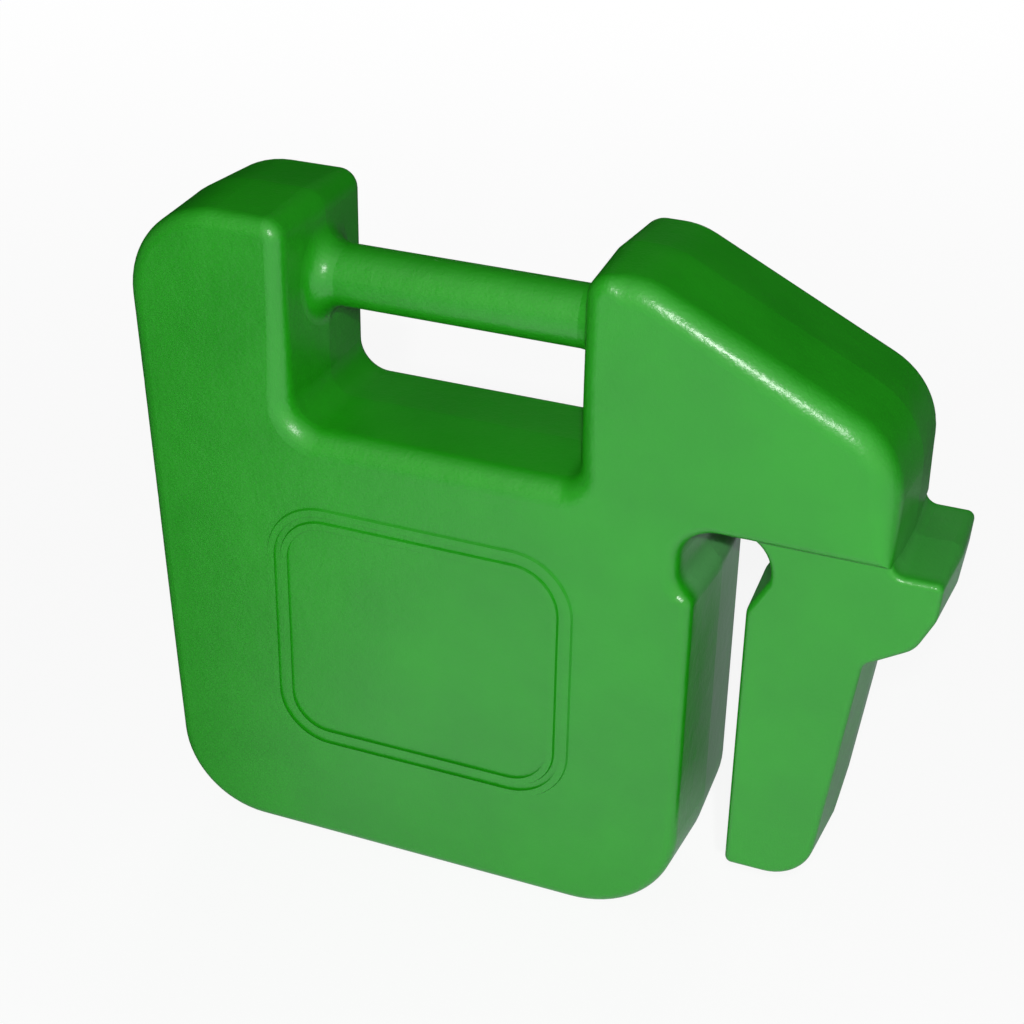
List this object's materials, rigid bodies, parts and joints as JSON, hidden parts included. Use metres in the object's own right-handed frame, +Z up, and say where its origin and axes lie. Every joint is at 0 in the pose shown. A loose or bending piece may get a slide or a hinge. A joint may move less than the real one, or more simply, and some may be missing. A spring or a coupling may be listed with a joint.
{
  "type": "tractor rear weight",
  "caption": "Cast-iron suitcase weight with hooked bracket slot, leg with lug, and a round hand bar between two towers, painted glossy green.",
  "frame": {"origin": "middle of the length and of the thickness, on the base the weight stands on", "axes": "+X along the length towards the hook and the bracket slot, -Y out of the front face with the raised frame, +Z up"},
  "size_m": [0.2781, 0.0621, 0.237],
  "materials": {
    "green_enamel": "gloss enamel on an as-cast iron surface"
  },
  "bodies": {
    "root": {"weight_casting": "green_enamel"}
  },
  "joints": []
}
